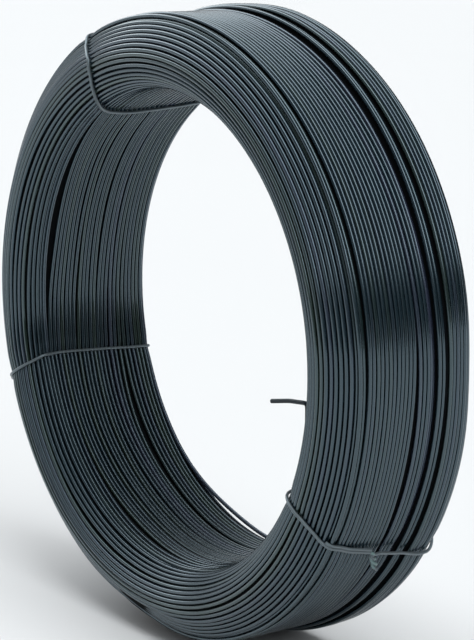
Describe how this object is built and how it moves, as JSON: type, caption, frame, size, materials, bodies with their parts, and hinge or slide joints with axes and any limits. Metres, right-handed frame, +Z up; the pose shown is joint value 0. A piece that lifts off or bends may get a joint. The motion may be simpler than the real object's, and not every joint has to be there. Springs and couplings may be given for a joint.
{
  "type": "coil of binding wire",
  "caption": "Close-wound ring of dark plastic-coated steel tie wire standing on its edge, open bore, held by thin twisted tie wires.",
  "frame": {"origin": "on the ground under the middle of the coil, midway between its two end faces", "axes": "+Z up, +Y along the coil's axis from the front end face to the back one, +X across the coil"},
  "size_m": [0.292, 0.0761, 0.2919],
  "materials": {
    "wire_coating": "satin anthracite plastic coating on steel wire",
    "tie_coating": "satin grey-green plastic coating on thin steel wire"
  },
  "bodies": {
    "root": {"wire_coil": "wire_coating", "tie_wire_top": "tie_coating", "tie_wire_side": "tie_coating", "tie_wire_bottom": "tie_coating"}
  },
  "joints": []
}
